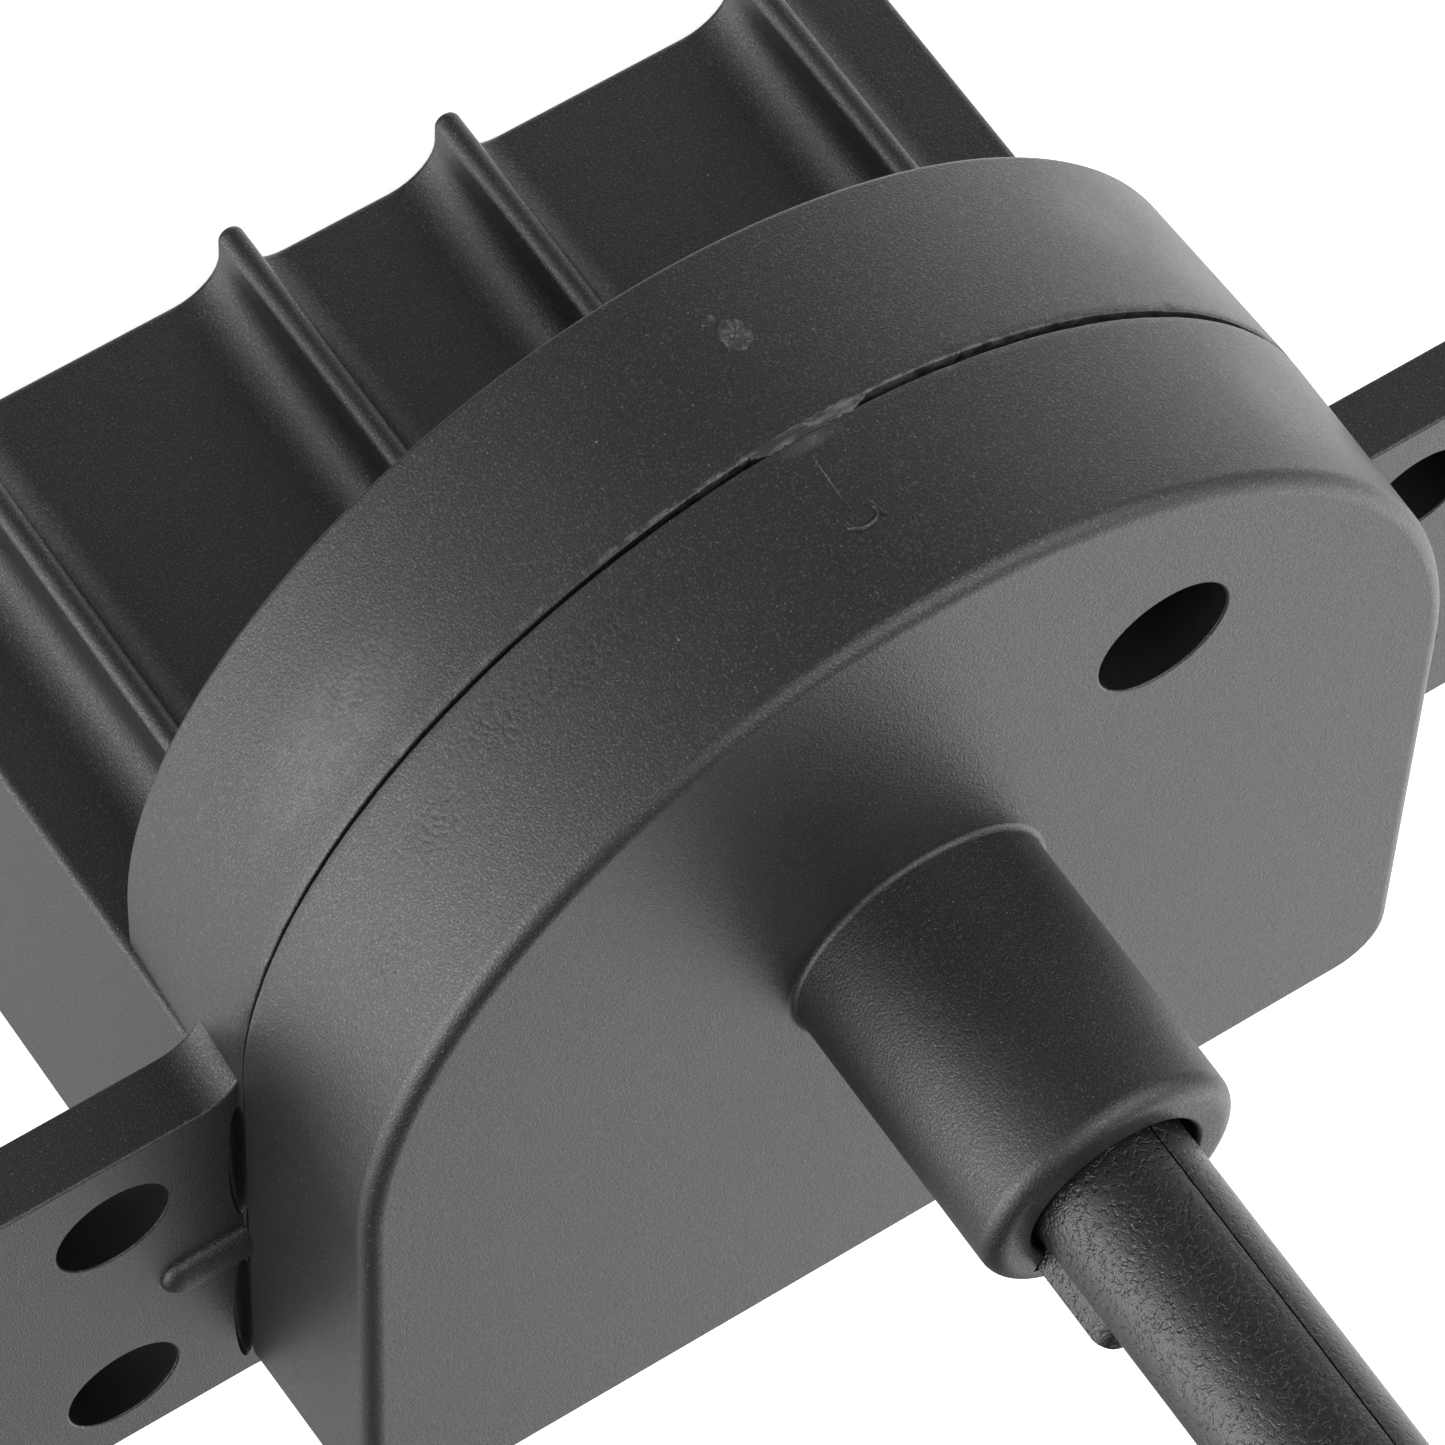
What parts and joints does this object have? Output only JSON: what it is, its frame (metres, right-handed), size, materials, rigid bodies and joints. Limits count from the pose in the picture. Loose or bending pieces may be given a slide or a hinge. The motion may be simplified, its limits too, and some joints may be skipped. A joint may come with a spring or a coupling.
{
  "type": "cup anemometer",
  "caption": "Wind speed sensor: arched housing with drilled ears and a ribbed foot, a split mast tube from its boss, and a rotor of hemispherical cups on rods.",
  "frame": {"origin": "centre of the four ear holes, on the back face of the ears", "axes": "+Z along the rotor axis from the foot to the cups; -Y towards the arched side, +Y towards the flat back; X across the ears"},
  "size_m": [0.1107, 0.1001, 0.1669],
  "materials": {
    "housing_plastic": "black, fine spark texture",
    "mast_plastic": "black, coarse leather grain",
    "rotor_plastic": "black, fine satin",
    "seal_rubber": "matte",
    "screw_steel": "zinc plated",
    "bearing_steel": "ground",
    "board_laminate": "green solder mask",
    "terminal_plastic": "moulded",
    "reed_glass": "clear, faintly green",
    "wheel_plastic": "natural white",
    "magnet": "nickel plated"
  },
  "bodies": {
    "housing": {"rear_housing": "housing_plastic", "front_housing": "housing_plastic", "housing_gasket": "seal_rubber", "housing_screws": "screw_steel", "foot_cover": "housing_plastic", "foot_cover_screws": "screw_steel", "mast_left_shell": "mast_plastic", "mast_right_shell": "mast_plastic", "mast_collar": "rotor_plastic", "mast_seal": "seal_rubber", "lower_bearing_outer_ring": "bearing_steel", "upper_bearing_outer_ring": "bearing_steel", "bearing_balls": "bearing_steel", "bearing_retainer": "screw_steel", "retainer_screws": "screw_steel", "circuit_board": "board_laminate", "board_screws": "screw_steel", "reed_switch": "reed_glass", "terminal_block": "terminal_plastic", "terminal_screws": "screw_steel"},
    "rotor": {"rotor_shaft": "screw_steel", "lower_bearing_inner_ring": "bearing_steel", "upper_bearing_inner_ring": "bearing_steel", "shaft_clip": "screw_steel", "magnet_wheel": "wheel_plastic", "wheel_magnets": "magnet", "hub_base": "rotor_plastic", "hub_clamp": "rotor_plastic", "hub_cap": "rotor_plastic", "hub_screw": "screw_steel", "hub_washer": "screw_steel", "clamp_screws": "screw_steel", "arm_1": "screw_steel", "arm_2": "screw_steel", "arm_3": "screw_steel", "cup_1": "rotor_plastic", "cup_2": "rotor_plastic", "cup_3": "rotor_plastic"}
  },
  "joints": [
    {"name": "rotor_spin", "type": "hinge", "parent": "housing", "child": "rotor", "pos_m": [0, -0.017, 0.1], "axis": [0, 0, 1], "continuous": true}
  ]
}
